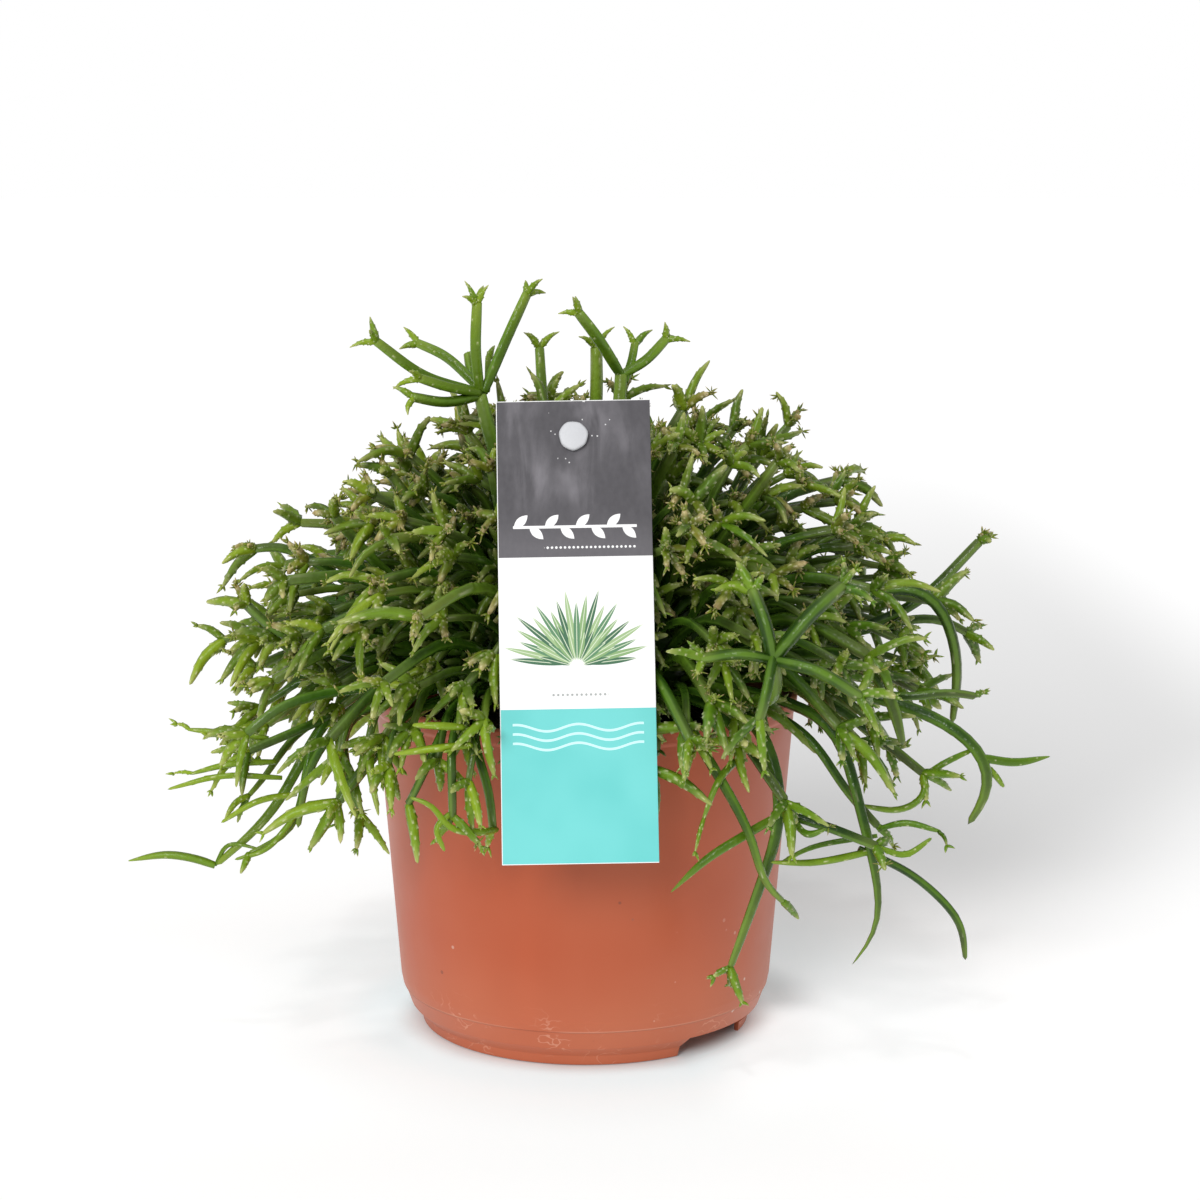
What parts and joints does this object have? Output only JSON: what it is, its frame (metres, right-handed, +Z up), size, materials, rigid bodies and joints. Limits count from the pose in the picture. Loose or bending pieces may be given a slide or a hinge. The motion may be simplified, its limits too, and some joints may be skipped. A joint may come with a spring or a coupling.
{
  "type": "mistletoe cactus",
  "caption": "Potted mistletoe cactus: a dense mound of slim forking shoots over a tapered plastic nursery pot, with a blank hanging label on a stake.",
  "frame": {"origin": "middle of the pot's foot, on the surface that the pot stands on", "axes": "+Z up along the pot's axis, -Y towards the front where the label hangs, +X to the right seen from the front"},
  "size_m": [0.2535, 0.2095, 0.2183],
  "materials": {
    "pot": "terracotta-coloured moulded polypropylene, satin, faint scuffs near the foot",
    "mix": "dark damp peat potting mix, crumbly and matte",
    "shoots": "smooth green cactus skin, glossy on the old shoots and dull with cream areoles on the young ones",
    "stake": "light grey moulded plastic, satin",
    "card": "thin coated label board, smooth, dark grey, white and turquoise bands"
  },
  "bodies": {
    "root": {"nursery_pot": "pot", "potting_mix": "mix", "shoots_crown": "shoots", "shoots_right": "shoots", "shoots_right_back": "shoots", "shoots_left_back": "shoots", "shoots_left": "shoots", "shoots_left_front": "shoots", "shoots_right_front": "shoots", "label_stake": "stake", "label_card": "card"}
  },
  "joints": []
}
